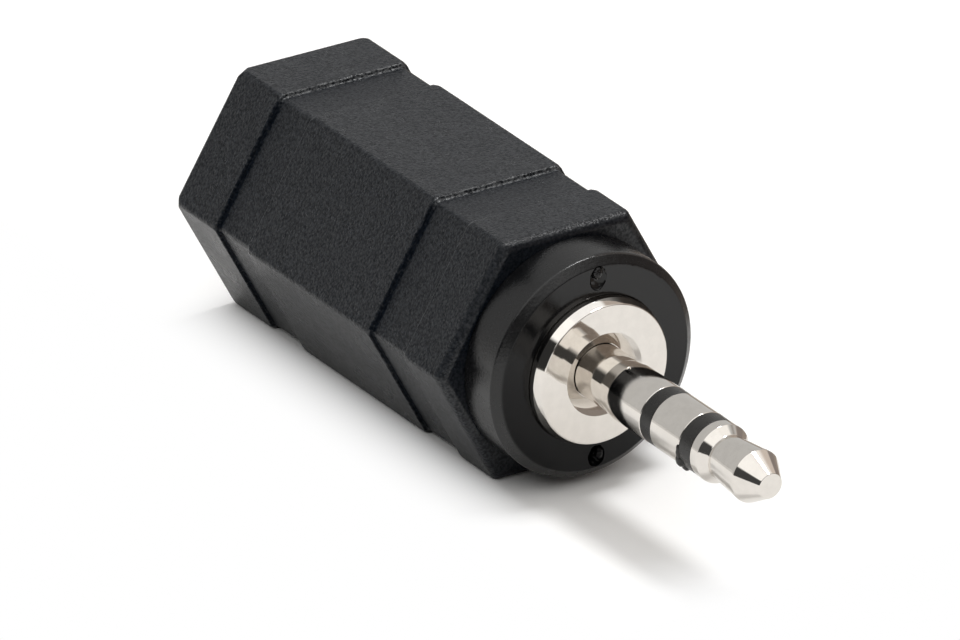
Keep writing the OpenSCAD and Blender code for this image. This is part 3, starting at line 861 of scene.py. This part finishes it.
def pale_floor(s):
    """Paper that is white to the camera but for the object's shadow, and pale to everything else."""
    material, graph = new_material("pale floor")
    place = object_place(graph)
    x, y, z = graph.add("ShaderNodeSeparateXYZ", {0: place}).outputs
    cloud = graph.smooth_range(graph.noise(place, 0.02, 2.0), 0.3, 0.7)
    base = graph.mix(cloud, tone(s.floor_colour, 0.99), tone(s.floor_colour))
    base = graph.mix(graph.smooth_range(x, *PAPER_EDGE_X), tone(HORIZON), base)
    base = graph.mix(graph.smooth_range(y, *PAPER_EDGE_Y), base, tone(TABLE_COLOUR))
    paint = graph.add("ShaderNodeBsdfDiffuse", {"Color": base})
    white = graph.add("ShaderNodeBsdfDiffuse", {"Color": WHITE})
    rays = graph.add("ShaderNodeLightPath").outputs
    seen, mirrored = rays["Is Camera Ray"], rays["Is Glossy Ray"]
    near = graph.add("ShaderNodeMapRange", {
        "Value": y, "From Min": SHADOW_FADE_Y[1], "From Max": SHADOW_FADE_Y[0],
        "To Min": 0.0, "To Max": 1.0})
    fade = graph.math("SUBTRACT", 1.0, graph.math("POWER", near.outputs[0], 2.0))
    fade = graph.math("MAXIMUM", fade, graph.smooth_range(x, *SHADOW_FADE_X))
    before = graph.smooth_range(x, *PAPER_EDGE_X, 0, MIRRORED_GLOW)
    beside = graph.smooth_range(y, *PAPER_EDGE_Y, 1, 0)
    paper = graph.math("MULTIPLY", graph.math("MULTIPLY", mirrored, before), beside)
    fade = graph.math("MULTIPLY", fade, graph.math("ADD", seen, paper))
    glow = graph.add("ShaderNodeEmission", {"Color": WHITE, "Strength": graph.math("ADD", seen, mirrored)})
    matte = graph.add("ShaderNodeMixShader", {0: seen, 1: paint.outputs[0], 2: white.outputs[0]})
    surface(graph, graph.add("ShaderNodeMixShader", {0: fade, 1: matte.outputs[0], 2: glow.outputs[0]}))
    return material


def patch(graph, x, y, height, left, right, low, high, soft):
    """How far a direction lies inside a patch of the studio, whose sides are angles in degrees."""
    middle = math.radians((left + right) / 2)
    half = (right - left) / 2
    ahead = graph.math("ADD", graph.math("MULTIPLY", x, math.cos(middle)),
                       graph.math("MULTIPLY", y, math.sin(middle)))
    aside = graph.math("SUBTRACT", graph.math("MULTIPLY", y, math.cos(middle)),
                       graph.math("MULTIPLY", x, math.sin(middle)))
    turn = graph.math("ABSOLUTE", graph.degrees(graph.math("ARCTAN2", aside, ahead)))
    over = graph.smooth_range(height, low - soft, low + soft)
    under = graph.smooth_range(height, high - soft, high + soft, 1, 0)
    return graph.math("MULTIPLY", graph.smooth_range(turn, half - soft, half + soft, 1, 0),
                      graph.math("MULTIPLY", over, under))


def studio_world(s):
    """A studio of bright and dark surfaces round the object, with a background white to the camera."""
    world = bpy.data.worlds.new("studio")
    world.use_nodes = True
    graph = Graph(world.node_tree)
    way = graph.add("ShaderNodeTexCoord").outputs["Generated"]
    x, y, z = graph.add("ShaderNodeSeparateXYZ", {0: way}).outputs
    height = graph.degrees(graph.math("ARCSINE", z))
    light = tone(HORIZON)
    for left, right, low, high, soft, bright, tint in STUDIO:
        inside = patch(graph, x, y, height, left, right, low, high, soft)
        light = graph.mix(inside, light, tone(tint, bright))
    turn, tilt, half, soft, bright = KEY_LIGHT
    turn, tilt = math.radians(turn), math.radians(tilt)
    towards = (math.cos(turn) * math.cos(tilt), math.sin(turn) * math.cos(tilt), math.sin(tilt))
    near = graph.add("ShaderNodeVectorMath", {0: way, 1: towards}, operation="DOT_PRODUCT").outputs["Value"]
    off = graph.degrees(graph.math("ARCCOSINE", near))
    inside = graph.smooth_range(off, half - soft, half + soft, 1, 0)
    light = graph.mix(inside, light, tone(WHITE[:3], bright))
    seen = graph.add("ShaderNodeLightPath").outputs["Is Camera Ray"]
    studio = graph.add("ShaderNodeBackground", {"Color": light, "Strength": s.light})
    white = graph.add("ShaderNodeBackground", {"Color": WHITE, "Strength": 1.0})
    both = graph.add("ShaderNodeMixShader", {0: seen, 1: studio.outputs[0], 2: white.outputs[0]})
    graph.add("ShaderNodeOutputWorld", {"Surface": both.outputs[0]})
    return world


def long_lens_camera():
    """A camera far off with a long lens, where the photo was taken from."""
    data = bpy.data.cameras.new("camera")
    camera = bpy.data.objects.new("camera", data)
    place = (Vector(CAMERA_AIM) + Vector(CAMERA_BACK) * CAMERA_DISTANCE) * MM
    axes = Matrix((CAMERA_RIGHT, CAMERA_UP, CAMERA_BACK)).transposed().to_4x4()
    camera.matrix_world = Matrix.Translation(place) @ axes
    data.lens = CAMERA_LENS
    data.sensor_width = CAMERA_SENSOR
    data.clip_start, data.clip_end = CAMERA_CLIP
    return camera


class ADAPTER_OT_stage(bpy.types.Operator):
    """Sets the pale floor, the studio light and the camera"""
    bl_idname = "adapter.stage"
    bl_label = "Stage"

    def execute(self, context):
        s = context.scene.adapter.stage
        bpy.ops.object.select_all(action="DESELECT")
        bpy.ops.mesh.primitive_plane_add(size=s.floor_size, location=(0, 0, 0))
        floor = context.active_object
        floor.name = "floor"
        floor.data.materials.append(pale_floor(s))
        context.scene.world = studio_world(s)
        camera = long_lens_camera()
        context.scene.collection.objects.link(camera)
        context.scene.camera = camera
        context.scene.view_settings.view_transform = "Standard"
        return {"FINISHED"}


class ADAPTER_PT_panel(bpy.types.Panel):
    """Lists the adapter's pieces and their settings"""
    bl_idname = "ADAPTER_PT_panel"
    bl_label = "Audio jack adapter"
    bl_space_type = "VIEW_3D"
    bl_region_type = "UI"
    bl_category = "Adapter"

    def draw(self, context):
        for group in ("housing", "collar", "plug", "stage"):
            settings = getattr(context.scene.adapter, group)
            box = self.layout.box()
            for name in settings.__annotations__:
                box.prop(settings, name)
        for operator in OPERATORS:
            self.layout.operator(operator.bl_idname)


OPERATORS = (ADAPTER_OT_housing, ADAPTER_OT_collar, ADAPTER_OT_shoulder_ring, ADAPTER_OT_contacts,
             ADAPTER_OT_insulators, ADAPTER_OT_entry_bush, ADAPTER_OT_inner_parts, ADAPTER_OT_stage)
CLASSES = (HousingSettings, CollarSettings, PlugSettings, StageSettings, AdapterSettings,
           *OPERATORS, ADAPTER_PT_panel)


def register():
    for each in CLASSES:
        bpy.utils.register_class(each)
    bpy.types.Scene.adapter = bpy.props.PointerProperty(type=AdapterSettings)


def unregister():
    del bpy.types.Scene.adapter
    for each in reversed(CLASSES):
        bpy.utils.unregister_class(each)


def main():
    register()
    bpy.ops.adapter.stage()
    bpy.ops.adapter.housing()
    bpy.ops.adapter.collar()
    bpy.ops.adapter.shoulder_ring()
    bpy.ops.adapter.contacts()
    bpy.ops.adapter.insulators()
    bpy.ops.adapter.entry_bush()
    bpy.ops.adapter.inner_parts()


if __name__ == "__main__":
    main()
